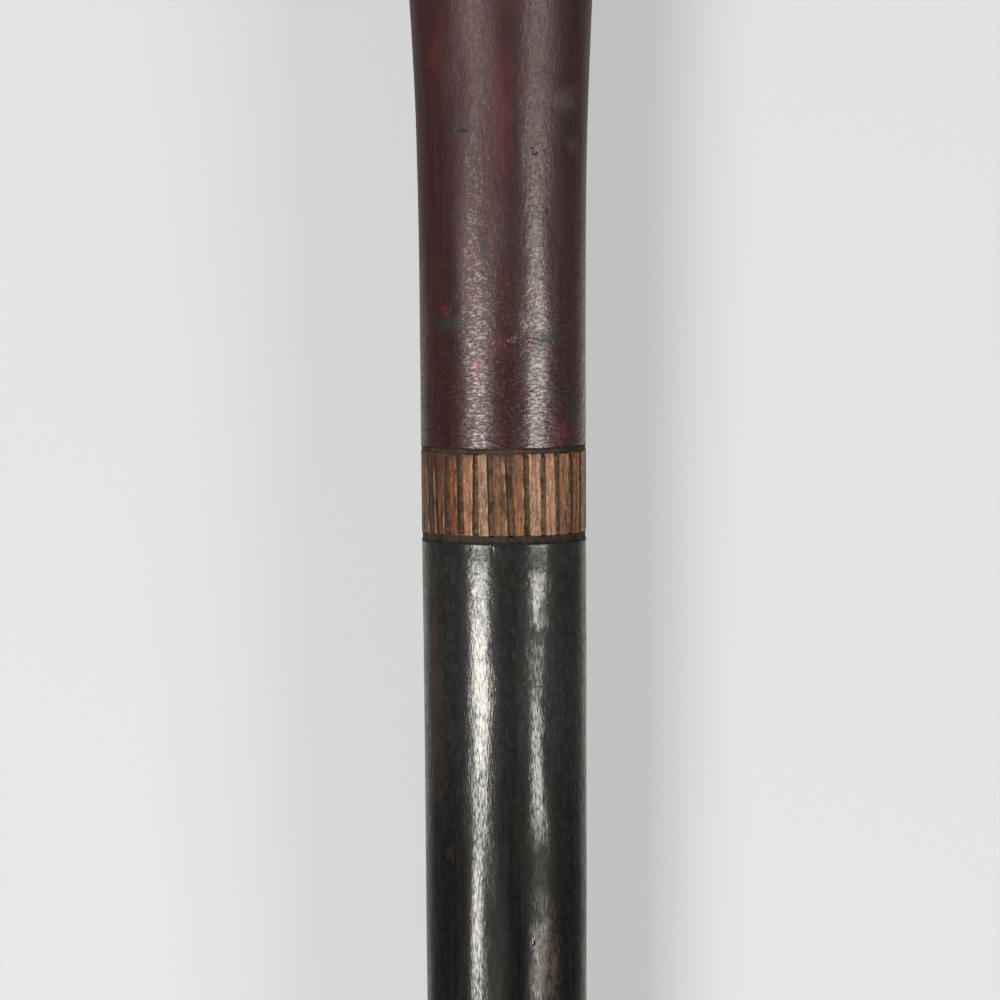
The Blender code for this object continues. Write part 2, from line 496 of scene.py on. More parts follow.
def ring_angles(along):
    """The angles of the coarse columns of a ring, in degrees, with one more to close it."""
    even = [even_angle((column - 1) / COLUMNS_PER_FLUTE) for column in range(COLUMNS)]
    even.append(even[0] + 360)
    for band_at, ridges in BANDS.items():
        height = (along - band_at) / BAND_HEIGHT
        beyond = max(0.0, -height, height - 1) * BAND_HEIGHT / SPREAD_OUT
        if beyond < 1:
            marked = ridge_columns(ridges, min(1.0, max(0.0, height)))
            share = 1 - beyond * beyond * (3 - 2 * beyond)
            return [plain + (cut - plain) * share for plain, cut in zip(even, marked)]
    return even


def ring_points(along, fine):
    """One row of kept numbers for each point of a ring."""
    coarse = ring_angles(along)
    nearest = min(BANDS, key=lambda band_at: abs(band_at + BAND_HEIGHT / 2 - along))
    rows = []
    for number in range(COLUMNS * (FINE_SPLIT if fine else 1)):
        column = number / (FINE_SPLIT if fine else 1)
        whole = int(column)
        turn = coarse[whole] + (coarse[whole + 1] - coarse[whole]) * (column - whole)
        ridge = BANDS[nearest][int(column / COLUMNS_PER_FLUTE)]
        tail = (ridge.short_low, ridge.short_high, ridge.light, ridge.warm)
        turn = math.remainder(math.radians(turn), 2 * math.pi)
        rows.append((along, column, turn, *tail))
    return rows


print("a ring in the band has", len(ring_points(GRIP_BAND_AT, True)), "points")

# %% [markdown]
# Two rings with as many points are joined by four-sided faces. Where one is three times finer,
# every span of the coarse ring is joined to three of the fine one by two triangles and a
# four-sided face. A fan of triangles closes each end, around a point in its middle.

# %% Join the rings into a closed blank
BLANK_RADIUS = 0.02
KEPT = ("along", "column", "turn", "short_low", "short_high", "light", "warm")


def joining_faces(lower, upper):
    """Faces between two rings of points. A ring may have FINE_SPLIT times the other's points."""
    if len(lower) == len(upper):
        pairs = zip(lower, lower[1:] + lower[:1], upper, upper[1:] + upper[:1])
        return [(here, after, after_up, here_up) for here, after, here_up, after_up in pairs]
    few, many = sorted((lower, upper), key=len)
    faces = []
    for turn, here in enumerate(few):
        after = few[(turn + 1) % len(few)]
        row = [many[(turn * FINE_SPLIT + step) % len(many)] for step in range(FINE_SPLIT + 1)]
        faces += [(here, row[1], row[0]), (here, after, row[2], row[1]), (after, row[3], row[2])]
    if few is lower:
        return faces
    return [tuple(reversed(face)) for face in faces]


def make_blank():
    """The closed tube of points and faces, with its kept numbers."""
    rows = []
    loops = []
    faces = []
    for along, fine in all_rings():
        ring = ring_points(along, fine)
        loops.append(list(range(len(rows), len(rows) + len(ring))))
        rows += ring
    for lower, upper in zip(loops, loops[1:]):
        faces += joining_faces(lower, upper)
    points = [
        (row[0], -BLANK_RADIUS * math.sin(row[2]), BLANK_RADIUS * math.cos(row[2]))
        for row in rows
    ]
    for along, loop, is_foot in ((0.0, loops[0], True), (STAFF_LENGTH, loops[-1], False)):
        middle = len(points)
        points.append((along, 0, 0))
        rows.append((along, *[0.0] * (len(KEPT) - 1)))
        for here, after in zip(loop, loop[1:] + loop[:1]):
            faces.append((after, here, middle) if is_foot else (here, after, middle))
    mesh = bpy.data.meshes.new("blank")
    mesh.from_pydata(points, [], faces)
    for place, name in enumerate(KEPT):
        values = [row[place] for row in rows]
        mesh.attributes.new(name, "FLOAT", "POINT").data.foreach_set("value", values)
    return mesh


blank = bpy.data.objects.new("blank", make_blank())
bpy.context.scene.collection.objects.link(blank)
print("blank:", len(blank.data.vertices), "points")

# %% [markdown]
# ## Carving with Geometry Nodes
#
# The blank is shaped by one node tree. The rules are the same ones a carver follows: turn the
# pole to its outline, lay out the flutes around each band, sink the flutes and the two ring
# grooves, and leave the small unevenness of a knife and a rasp. The sizes that a carver might
# change are named inputs of the tree, set on the modifier, and every random number comes from
# one seed. `start_tree` makes a tree with such inputs, and `whim` gives a random number that stays
# the same for one flute.

# %% Start a tree with named inputs
def start_tree(name, sizes):
    """A Geometry Nodes tree. Returns it, the geometry that comes in, and its inputs as fields."""
    tree = bpy.data.node_groups.new(name, "GeometryNodeTree")
    tree.interface.new_socket("Geometry", in_out="INPUT", socket_type="NodeSocketGeometry")
    for label, size in sizes.items():
        kind = "NodeSocketInt" if isinstance(size, int) else "NodeSocketFloat"
        tree.interface.new_socket(label, in_out="INPUT", socket_type=kind)
    tree.interface.new_socket("Geometry", in_out="OUTPUT", socket_type="NodeSocketGeometry")
    entry = put(tree, "NodeGroupInput")
    given = {label: Field(tree, entry.outputs[label]) for label in sizes}
    return tree, entry.outputs["Geometry"], given


def kept_number(tree, name):
    """A number that is kept on the points of the mesh."""
    node = put(tree, "GeometryNodeInputNamedAttribute", {"Name": name}, data_type="FLOAT")
    return Field(tree, node.outputs[0])


def keep_number(tree, geometry, name, value):
    """Stores a number on the points of the mesh."""
    feeds = {"Geometry": geometry, "Name": name, "Value": value}
    settings = {"data_type": "FLOAT", "domain": "POINT"}
    return put(tree, "GeometryNodeStoreNamedAttribute", feeds, **settings).outputs[0]


def whim(number, low, high, seed):
    """A random value from low to high that is always the same for one number and seed."""
    feeds = {"Min": low, "Max": high, "ID": number, "Seed": seed}
    node = put(number.tree, "FunctionNodeRandomValue", feeds, data_type="FLOAT")
    return Field(number.tree, next(socket for socket in node.outputs if socket.enabled))


print("tree helpers ready")

# %% [markdown]
# ### The turned outline
#
# The pole grows slowly from the foot to the hand, spreads a little at the foot, and sweeps out
# below the head. Each of those is one term of a sum. The foot's edge and the rims of the
# collar are quarter rounds: `inset` is how far a quarter round has fallen back at a given
# distance from where it starts. The egg is an ellipse whose width is pulled towards its blunt
# end. A curve swept with a Curve to Mesh node could give the same outline, but a formula is
# easier to match to the solid.

# %% Turn the pole, the collar and the egg
def inset(beyond, rounding):
    """How far a quarter round of this radius has fallen back, that distance past its start."""
    reach = most(least(beyond, rounding), 0.0)
    return rounding - (rounding**2 - reach**2) ** 0.5


def pole_outline(along, given):
    """The radius of the pole, from the foot to the top of the neck."""
    thickening = (given["Grip radius"] - given["Foot radius"]) * (along / GRIP_TOP) ** TAPER_POWER
    spread = given["Foot spread"] * held(1 - along / FOOT_SPREAD_LENGTH) ** 2
    plain = given["Foot radius"] + thickening + spread
    sweep_start = GRIP_TOP + HEAD_SPREAD_START
    sweep = held((along - sweep_start) / HEAD_SPREAD_LENGTH) ** HEAD_SPREAD_POWER
    foot_edge = inset(FOOT_ROUNDING - along, given["Foot rounding"])
    return shift(plain, given["Head radius"], sweep) - foot_edge


def collar_outline(along, given):
    """The radius of the collar, with its lower rim as round as it stands proud of the neck."""
    overhang = given["Collar radius"] - given["Head radius"]
    lower_rim = inset(COLLAR_AT + COLLAR_RADIUS - HEAD_RADIUS - along, overhang)
    upper_rim = inset(along - COLLAR_TOP + COLLAR_ROUNDING, given["Collar rounding"])
    return given["Collar radius"] - lower_rim - upper_rim


def egg_outline(along, given):
    """The radius of the knob."""
    height = (along - EGG_CENTRE) / EGG_HALF_LENGTH
    roundness = held(1 - height * height) ** 0.5
    return given["Egg radius"] * roundness * (1 - height * EGG_POINTEDNESS)


def staff_outline(along, given):
    """The radius everywhere: the pole, then the collar, a short slope and the egg."""
    collar_end = COLLAR_RADIUS - COLLAR_ROUNDING
    egg_foot = EGG_RADIUS * math.sqrt(1 - EGG_START**2) * (1 - EGG_POINTEDNESS * EGG_START)
    slope = shift(collar_end, egg_foot, held((along - COLLAR_TOP) / (EGG_AT - COLLAR_TOP)))
    pole = pole_outline(along, given)
    radius = shift(pole, collar_outline(along, given), at_least(along, COLLAR_AT))
    radius = shift(radius, slope, at_least(along, COLLAR_TOP))
    return shift(radius, egg_outline(along, given), at_least(along, EGG_AT))


print("outline ready")

# %% [markdown]
# ### Cutting the flutes
#
# A column's number says how far across a flute it stands: from 0 to 2 on the ridge, and from 2
# to 5 down, along and up the groove. Because the columns follow the marked edges, every ridge
# is crisp without a finer mesh. The knife wandered a little as it cut, so each edge strays from
# its mark, and the points beside it go along. In the floor of each flute the chisel left a row
# of small steps where it was set down again. The two ring grooves are shallower, and the flutes
# run out into them.
#
# The solid's flutes are V-shaped. These are U-shaped, with a floor between two walls, and a U
# holds more shadow than a V of the same depth. So they are cut less deep, and so are the rings.

# %% Sink the flutes and the ring grooves
EDGE_WANDER_LENGTH = 0.0030
FAR_APART = 7.3
FOLLOWS_RIGHT_EDGE = 1.5
FOLLOWS_NEXT_EDGE = 3.5
CHISEL_STEP = 0.0021
FLUTE_DEPTH_SHARE = 0.62
RING_DEPTH_SHARE = 0.60


def edge_wander(across, flute, along, amount):
    """An angle by which one edge of a ridge strays from its mark."""
    edge = flute * 2 + at_least(across, FOLLOWS_RIGHT_EDGE)
    edge = edge + at_least(across, FOLLOWS_NEXT_EDGE)
    stray = noise(vector(edge.tree, edge * FAR_APART, along / EDGE_WANDER_LENGTH, 0.0), detail=3)
    return (stray - 0.5) * amount


def place_in_band(along):
    """The distance above the bottom of the nearest band, and 1 in a band or 0 outside."""
    place = along - GRIP_BAND_AT
    inside = 0
    for band_at in BANDS:
        nearby = within(along, band_at - SPREAD_OUT, band_at + 2 * SPREAD_OUT)
        place = shift(place, along - band_at, nearby)
        band_top = band_at + BAND_HEIGHT
        inside = within(along, band_at - BAND_MARGIN / 2, band_top + BAND_MARGIN / 2) + inside
    return place, inside


def band_depth(place, flute, groove, short_low, short_high, given):
    """How deep the band is cut, how much of that is flute, and how deep the chisel stepped."""
    low = short_low + LOWER_GROOVE_WIDTH
    high = BAND_HEIGHT - UPPER_GROOVE_WIDTH - short_high
    ridges = ease(place, low - FLUTE_RUN_OUT, low) * (1 - ease(place, high, high + FLUTE_RUN_OUT))
    step = (place / CHISEL_STEP + whim(flute, 0.0, 1.0, given["Seed"])) % 1.0
    floor = given["Flute depth"] + step * given["Chisel step depth"]
    cut = shift(given["Ring groove depth"], groove * floor, ridges)
    return cut * between(place, 0.0, BAND_HEIGHT, EDGE_ROUNDING), ridges * groove, step


print("band rules ready")

# %% [markdown]
# ### The hand's unevenness
#
# No hand-shaped pole is a perfect cone. Long shallow swells, a few centimetres apart, make the
# shine along it waver, and smaller flats from the rasp break it up. Both come from noise and
# take wood away. The dips that bend the shine most are placed one by one. Each row says how far
# along the staff a dip lies, how many degrees from the top, how long, how wide and how deep it
# is, and a minus depth leaves a low hump. The border of each band isn't quite level either.
# Sculpting would do the same by hand, but a row of numbers is easier to move and to undo.

# %% Write down the dips
DIPS = (
    (1.2925, -32, 0.044, 0.014, 0.00042),
    (1.2700, -6, 0.060, 0.014, 0.00028),
    (1.2510, -6, 0.030, 0.012, 0.00022),
    (1.2450, -18, 0.070, 0.014, 0.00024),
    (1.2950, -18, 0.060, 0.013, 0.00016),
    (1.1340, 3, 0.044, 0.020, -0.00016),
    (1.1280, 38, 0.060, 0.014, 0.00030),
    (1.0880, 12, 0.030, 0.012, 0.00010),
    (1.0600, 36, 0.040, 0.012, 0.00016),
    (1.0720, -8, 0.085, 0.016, 0.00052),
    (1.2900, 27, 0.080, 0.014, 0.00024),
    (1.2550, 38, 0.060, 0.012, 0.00015),
    (1.2302, 20, 0.012, 0.014, 0.00016),
    (1.2075, 33, 0.014, 0.012, 0.00009),
    (1.0850, -19, 0.070, 0.008, -0.00009),
)
print(len(DIPS), "dips and humps")

# %% Leave the marks of the hand
SWELL_LENGTH = 0.060
SWELL_WIDTH = 0.016
FLAT_LENGTH = 0.018
FLAT_WIDTH = 0.006
BORDER_FADE = 0.010
BORDER_WAVE = 0.5


def reach_of(along, angle, at, degrees, length, width):
    """0 in the middle of an oval spot on the staff, 1 on its rim, and more outside it."""
    ahead = (along - at) * (2 / length)
    aside = (angle - math.radians(degrees)) * (2 * GRIP_RADIUS / width)
    return (ahead * ahead + aside * aside) ** 0.5


def hand_work(place, along, angle, given):
    """How much wood the hand took away. Where it took less than around, a hump is left."""
    cut = patches(place, SWELL_LENGTH, SWELL_WIDTH, detail=1.0) * given["Swell depth"]
    cut = cut + patches(place, FLAT_LENGTH, FLAT_WIDTH, detail=2.0) * given["Rasp depth"]
    for *spot, depth in DIPS:
        cut = (1 - ease(reach_of(along, angle, *spot), 0.0, 1.0)) * depth + cut
    return cut


def border_shift(along, angle, given):
    """How far the border of a band strays along the staff, fading out beyond the band."""
    tree = along.tree
    sine = maths(tree, "SINE", angle)
    around = vector(tree, maths(tree, "COSINE", angle), sine, along / BORDER_WAVE)
    near = 0
    for band_at in BANDS:
        rise = ease(along, band_at - BORDER_FADE, band_at)
        top = band_at + BAND_HEIGHT
        near = rise * (1 - ease(along, top, top + BORDER_FADE)) + near
    return (noise(around, detail=3) - 0.5) * near * given["Border wander"]


print("hand marks ready")

# %% [markdown]
# ### The whole tree
#
# The tree sets every point of the blank from the numbers kept on it. The middle points that
# close the two ends have no radius on the blank and keep none. Then the staff is laid down, and
# what would be under the floor is flattened, which makes the two small flat spots it rests on.
# The faces get their material last, by where they are along the staff.

# %% Name the inputs and the materials
SIZES = {
    "Grip radius": GRIP_RADIUS,
    "Foot radius": FOOT_RADIUS,
    "Foot spread": FOOT_SPREAD,
    "Foot rounding": FOOT_ROUNDING,
    "Head radius": HEAD_RADIUS,
    "Collar radius": COLLAR_RADIUS,
    "Collar rounding": COLLAR_ROUNDING,
    "Egg radius": EGG_RADIUS,
    "Flute depth": FLUTE_DEPTH_SHARE * FLUTE_DEPTH,
    "Ring groove depth": RING_DEPTH_SHARE * RING_GROOVE_DEPTH,
    "Chisel step depth": 0.00012,
    "Edge wander": math.radians(1.6),
    "Border wander": 0.0008,
    "Swell depth": 0.00030,
    "Rasp depth": 0.00012,
    "Seed": 7,
}

RED_PAINT = bpy.data.materials.new("dark_red_paint")
BARE_WOOD = bpy.data.materials.new("bare_wood")
BLACK_PAINT = bpy.data.materials.new("black_paint")
print("the tree takes", len(SIZES), "numbers")

# %% Shape the staff in the tree
def shaped_staff(tree, blank_geometry, given):
    """Moves the points of the blank to the carved staff, upright along X, and keeps numbers."""
    along, column, turn, short_low, short_high = [
        kept_number(tree, name) for name in ("along", "column", "turn", "short_low", "short_high")
    ]
    start = Field(tree, put(tree, "GeometryNodeInputPosition").outputs[0])
    _, start_y, start_z = parts(start)
    is_skin = (start_y**2 + start_z**2) ** 0.5 / BLANK_RADIUS

    flute = maths(tree, "FLOOR", column / COLUMNS_PER_FLUTE)
    across = column - flute * COLUMNS_PER_FLUTE
    down = ease(across, RIDGE_SPANS, RIDGE_SPANS + 1)
    groove = down * (1 - ease(across, COLUMNS_PER_FLUTE - 1, COLUMNS_PER_FLUTE))
    place, in_band = place_in_band(along)
    angle = turn + edge_wander(across, flute, along, given["Edge wander"]) * in_band
    depth, flute_cut, chisel = band_depth(place, flute, groove, short_low, short_high, given)
    sine = maths(tree, "SINE", angle)
    cosine = maths(tree, "COSINE", angle)
    outline = staff_outline(along, given)
    on_skin = vector(tree, along, outline * sine, outline * cosine)
    radius = (outline - depth * in_band - hand_work(on_skin, along, angle, given)) * is_skin
    moved_along = along + border_shift(along, angle, given)
    carved = vector(tree, moved_along, 0 - radius * sine, radius * cosine)

    feeds = {"Geometry": blank_geometry, "Position": carved}
    geometry = put(tree, "GeometryNodeSetPosition", feeds).outputs[0]
    kept = {"flute": flute, "flute_cut": flute_cut * in_band, "band_place": place, "chisel": chisel}
    for name, value in kept.items():
        geometry = keep_number(tree, geometry, name, value)
    return geometry


print("shaping ready")

# %% Lay the staff down and give it its materials
def laid_down(tree, geometry):
    """Turns and moves the staff to where the solid lies, and flattens what is under the floor."""
    turn = Matrix.Rotation(-CLIMB, 4, "Y").to_euler()
    feeds = {"Geometry": geometry, "Translation": FOOT, "Rotation": turn}
    geometry = put(tree, "GeometryNodeTransform", feeds).outputs[0]
    x, y, z = parts(Field(tree, put(tree, "GeometryNodeInputPosition").outputs[0]))
    feeds = {"Geometry": geometry, "Position": vector(tree, x, y, most(z, 0.0))}
    return put(tree, "GeometryNodeSetPosition", feeds).outputs[0]


def painted(tree, geometry):
    """Gives each face its material by its place along the staff."""
    along = kept_number(tree, "along")
    _, in_band = place_in_band(along)
    is_red = 1 - at_least(along, LOWER_BAND_AT) + within(along, GRIP_BAND_AT, HEAD_BAND_AT)
    for material, selection in ((BLACK_PAINT, None), (RED_PAINT, is_red), (BARE_WOOD, in_band)):
        feeds = {"Geometry": geometry, "Material": material}
        if selection is not None:
            feeds["Selection"] = selection
        geometry = put(tree, "GeometryNodeSetMaterial", feeds).outputs[0]
    return geometry


def staff_tree():
    """The whole tree, from the blank that comes in to the finished skin."""
    tree, geometry, given = start_tree("carved_staff", SIZES)
    geometry = shaped_staff(tree, geometry, given)
    geometry = laid_down(tree, geometry)
    geometry = put(tree, "GeometryNodeRealizeInstances", {"Geometry": geometry}).outputs[0]
    geometry = painted(tree, geometry)
    put(tree, "NodeGroupOutput", {"Geometry": geometry})
    return tree


print("laying down ready")

# %% [markdown]
# A tree works through a modifier. The sizes are set on it by each input's identifier, because
# two inputs could have the same name. Then the result is copied into a plain mesh, and the
# modifier and the blank are let go. Edges that turn sharply, at the ridges, the grooves and the
# rims, are shaded sharp, and all others smooth.

# %% Carve the blank
def run_tree(obj, tree, sizes, name):
    """Runs a tree on an object and returns the result as a plain mesh in a new object."""
    modifier = obj.modifiers.new(tree.name, "NODES")
    modifier.node_group = tree
    for item in tree.interface.items_tree:
        if item.name in sizes:
            modifier[item.identifier] = sizes[item.name]
    seen = obj.evaluated_get(bpy.context.evaluated_depsgraph_get())
    mesh = bpy.data.meshes.new_from_object(seen)
    mesh.name = name
    obj.modifiers.remove(modifier)
    bpy.data.objects.remove(obj)
    made = bpy.data.objects.new(name, mesh)
    bpy.context.scene.collection.objects.link(made)
    return made


SHARP_EDGE = math.radians(42)

staff = run_tree(blank, staff_tree(), SIZES, "carved_staff")
staff.data.shade_smooth()
staff.data.set_sharp_from_angle(angle=SHARP_EDGE)
print("carved staff:", len(staff.data.polygons), "faces,", len(staff.data.materials), "materials")

# %% [markdown]
# ## Paint and wood
#
# Every pattern below is placed on the staff itself, so `start_paint` gives the place of a point
# in the staff's own measure: its distance from the foot, and its angle around the pole, counted
# from the top. A Mapping node of the Texture kind undoes the laying down. Colours are then laid
# over one another, as a painter glazes, each with a mask that says where it shows. A picture
# painted on the mesh could do this too, but it would blur in a close-up, and nodes don't.

# %% Measure places on the staff in a material
def start_paint(material):
    """Empties a material. Returns its tree, and a point's place, distance and angle."""
    material.use_nodes = True
    tree = material.node_tree
    tree.nodes.clear()
    seen = put(tree, "ShaderNodeTexCoord").outputs["Object"]
    feeds = {"Vector": seen, "Location": FOOT, "Rotation": (0, -CLIMB, 0)}
    place = Field(tree, put(tree, "ShaderNodeMapping", feeds, vector_type="TEXTURE").outputs[0])
    x, y, z = parts(place)
    return tree, place, x, maths(tree, "ARCTAN2", 0 - y, z)


def shade(tree, colour, roughness, bump=None, polish=None, **constants):
    """Puts the shader and the output in a material. Polish is how much clear coat lies on it."""
    feeds = {"Base Color": colour, "Roughness": roughness}
    if bump is not None:
        feeds["Normal"] = bump
    if polish is not None:
        feeds.update({"Coat Weight": polish, "Coat Normal": bump})
    feeds.update({name.replace("_", " "): value for name, value in constants.items()})
    shader = put(tree, "ShaderNodeBsdfPrincipled", feeds)
    put(tree, "ShaderNodeOutputMaterial", {"Surface": shader.outputs[0]})


def bumped(tree, height, depth):
    """Turns a height from 0 to 1 into a bump that many metres deep."""
    feeds = {"Height": height, "Distance": depth, "Strength": 1.0}
    return Field(tree, put(tree, "ShaderNodeBump", feeds).outputs[0])


print("shader helpers ready")

# %% Mix colours and masks
def linear(level):
    """A screen level of 0 to 255, by the standard curve of screens, as the value nodes use."""
    share = level / 255
    return share / 12.92 if share < 0.04045 else ((share + 0.055) / 1.055) ** 2.4


def rgb(red, green, blue):
    """A colour as picked on a screen."""
    return (linear(red), linear(green), linear(blue), 1.0)


def mix(tree, first, second, share):
    """Blends two colours, given as colours or as fields."""
    feeds = {"Factor": share, "A": first, "B": second}
    node = put(tree, "ShaderNodeMix", feeds, data_type="RGBA")
    return Field(tree, next(socket for socket in node.outputs if socket.enabled))


def glazed(tree, colour, *glazes):
    """Lays colours over one another. Each glaze is a colour, and how much of it shows."""
    for over, share in glazes:
        colour = mix(tree, colour, over, share)
    return colour


def swing(pattern, amount):
    """A pattern of 0 to 1 as a change up and down, by half the amount at most."""
    return (pattern - 0.5) * amount


def ease_around(angle, start, end):
    """Rises smoothly from 0 to 1 around the pole, between two angles in degrees."""
    return ease(angle, math.radians(start), math.radians(end))


print("black reads as", [round(value, 4) for value in rgb(4, 4, 5)])

# %% [markdown]
# Years of hands and knocks left marks that no noise texture would put in the right place. Each
# is written down as a row: how far along the staff, how many degrees from the top, how long,
# how wide, and how strong. `marks` turns such a table into one mask. `strayed` leads the places
# astray before they are measured, which gives the marks ragged edges, and on a place that is
# `stretched` the ragged edges come out longer along the pole, as a rubbed stain has them.

# %% Place marks by hand
SPOT_CORE = 0.3
SPOT_RIM = 1.2


def stretched(place, times):
    """The place with its distances along the staff divided, so that a pattern grows longer."""
    x, y, z = parts(place)
    return vector(place.tree, x / times, y, z)


def strayed(place, along, angle, size, amount):
    """The two measures of a place, led astray by up to half an amount, in patches of a size."""
    x, y, z = parts(place)
    ahead = patches(place, size, size, detail=3, roughness=0.6)
    further = vector(place.tree, x + FAR_APART, y, z)
    aside = patches(further, size, size, detail=3, roughness=0.6)
    return along + swing(ahead, amount), angle + swing(aside, amount / GRIP_RADIUS)


def marks(measures, rows):
    """A mask of soft spots. A row is along, degrees, length, width and strength."""
    along, angle = measures
    mask = along * 0
    for *spot, strength in rows:
        faded = ease(reach_of(along, angle, *spot), SPOT_CORE, SPOT_RIM)
        mask = most(mask, (1 - faded) * strength)
    return mask


print("marks can be placed")

# %% [markdown]
# ### The dark red paint
#
# The paint is thin and old. It pooled in wrinkles near the band, where hands and weather worked
# it most, and lies smooth with a fine grain towards the neck, where it has gone dull and a
# little grey. Fresher crimson, pink and green came off on it here and there, and it has a few
# nicks and one fold.
#
# The marks are written down first. Then comes where the paint changes along the staff: each
# pair is where a change starts and where it ends, in metres from the foot.

# %% Write down the marks in the red paint
GREEN_SMUDGES = (
    (1.2313, -43, 0.0036, 0.0110, 1.0),
    (1.2322, -34, 0.0040, 0.0070, 0.6),
    (1.2278, 34, 0.0070, 0.0080, 0.9),
    (1.2207, 14, 0.0080, 0.0040, 0.6),
    (1.2800, 46, 0.0060, 0.0060, 0.7),
    (1.2808, -29, 0.0070, 0.0050, 0.6),
    (1.2500, -14, 0.0040, 0.0040, 0.7),
    (1.2590, -34, 0.0060, 0.0030, 0.6),
    (1.2106, 57, 0.0060, 0.0050, 0.7),
)
PINK_SPOTS = (
    (1.2207, -18, 0.0040, 0.0028, 1.0),
    (1.2343, -44, 0.0032, 0.0032, 0.4),
    (1.2411, 2.5, 0.0012, 0.0012, 0.5),
    (1.2533, -9, 0.0012, 0.0012, 0.3),
    (1.2395, 18, 0.0035, 0.0025, 0.5),
    (1.2036, 43, 0.0046, 0.0060, 0.45),
)
CRIMSON_PATCHES = (
    (1.2036, 42, 0.0075, 0.0100, 1.0),
    (1.2265, -3, 0.0075, 0.0070, 0.3),
    (1.2415, -1, 0.0040, 0.0050, 0.3),
    (1.2045, -4, 0.0040, 0.0040, 0.4),
    (1.2855, 0.5, 0.0360, 0.0072, 0.44),
)
RUST_STAINS = ((1.2990, -47.5, 0.0160, 0.0040, 0.4),)
DUSTY_SPOTS = (
    (1.2876, 50, 0.0085, 0.0110, 1.0),
    (1.2760, 55, 0.0050, 0.0060, 0.6),
)
NICKS = (
    (1.2800, -27.9, 0.0007, 0.0036, 1.0),
    (1.2744, 22.7, 0.0012, 0.0014, 0.7),
    (1.2757, 20.5, 0.0009, 0.0011, 0.4),
    (1.2600, 32.7, 0.0024, 0.0006, 0.5),
)
FOLDS = ((1.2277, 16, 0.0011, 0.0120, 0.8),)

print("nicks and folds in the red paint:", len(NICKS + FOLDS))

# %% Find the marks in the red paint
WRINKLES_END = (1.205, 1.275)
CROSSWISE_END = (1.208, 1.236)
MIDDLE_STARTS = (1.215, 1.245)
MIDDLE_ENDS = (1.262, 1.295)

tree, place, along, angle = start_paint(RED_PAINT)
near_band = 1 - ease(along, *WRINKLES_END)
at_border = 1 - ease(along, *CROSSWISE_END)
in_middle = ease(along, *MIDDLE_STARTS) * (1 - ease(along, *MIDDLE_ENDS))
right_side = ease_around(angle, -10, 10)

specks = patches(place, 0.0009, 0.0009, detail=3, roughness=0.6)
blotches = patches(place, 0.006, 0.006, detail=4, roughness=0.6)
patchy = strayed(stretched(place, 3), along, angle, 0.0024, 0.010)
dabbed = strayed(place, along, angle, 0.0012, 0.0050)
crimson = marks(patchy, CRIMSON_PATCHES) * ease(blotches, 0.30, 0.60)
smudged = marks(dabbed, GREEN_SMUDGES) * ease(specks, 0.28, 0.52)
pink = marks(dabbed, PINK_SPOTS) * ease(specks, 0.35, 0.60)
dusty = marks(dabbed, DUSTY_SPOTS) * ease(blotches, 0.30, 0.60)
nicks = marks((along, angle), NICKS)
fold = marks(dabbed, FOLDS)
print("red paint: its marks are found")

# %% [markdown]
# The colour starts with streaks that follow the wood's grain, from a deep to a brighter oxblood.
# Brown blotches come over it, then painted shade and dirt between the wrinkles, then each kind of
# mark.

# %% Colour the red paint
OXBLOOD = rgb(40, 16, 17)
BRIGHT_OXBLOOD = rgb(55, 20, 23)
BROWNED = rgb(48, 31, 29)
WRINKLE_SHADE_AND_DIRT = rgb(30, 18, 17)
CRIMSON = rgb(90, 24, 35)
RUST = rgb(82, 32, 24)
GREEN = rgb(29, 40, 33)
PINK = rgb(132, 46, 60)
DUST = rgb(84, 80, 72)
NICK_AND_FOLD_SHADE = rgb(30, 26, 24)

streaks = patches(place, 0.030, 0.0020, detail=4, roughness=0.6)
crosswise = patches(place, 0.0006, 0.0020, detail=2, distortion=0.5)
crinkles = patches(place, 0.0017, 0.0016, detail=3, distortion=1.0)
wrinkles = shift(crinkles, crosswise, at_border)
colour = glazed(
    tree, OXBLOOD,
    (BRIGHT_OXBLOOD, ease(streaks, 0.35, 0.65)),
    (BROWNED, ease(blotches, 0.45, 0.75) * 0.6),
    # painted shade and dirt in the lows between the wrinkles
    (WRINKLE_SHADE_AND_DIRT, (1 - ease(wrinkles, 0.35, 0.55)) * near_band * 0.3),
    (CRIMSON, crimson),
    (RUST, marks(patchy, RUST_STAINS)),
    (GREEN, smudged),
    (PINK, pink * 0.8),
    (DUST, dusty * 0.5),
    # painted shade in the nicks and in the fold's crease
    (NICK_AND_FOLD_SHADE, held(nicks * 0.8 + fold * 0.4)),
)
print("red paint coloured")

# %% [markdown]
# The relief changes from the grain of the neck to the wrinkles near the band, where narrow
# creases cross them. The shine comes from a clear coat, because old paint shines where hands
# polished it and is dull beside. `polish` is how much of that coat is left: more near the band
# and on the right side, broken into glints by the same wrinkles, and less on the smudges. A
# single glossy shader would shine evenly. The paint's own highlight is tinted a little pink.

# %% Wrinkle and polish the red paint
RED_RELIEF = 0.00010

grain = patches(place, 0.0022, 0.0009, detail=3)
fine = patches(place, 0.0009, 0.0009, detail=2.5)
lumps = patches(place, 0.0060, 0.0050, detail=1)
creased = patches(place, 0.0014, 0.0034, detail=3, distortion=0.8)
creases = between(creased, 0.485, 0.515, 0.03) * near_band
height = shift(grain * 0.75 + fine * 0.5, wrinkles * 1.2 + fine * 0.3, near_band)
height = height + lumps * 1.2 + creases * 0.9 - nicks * 2.0 - fold * 1.2

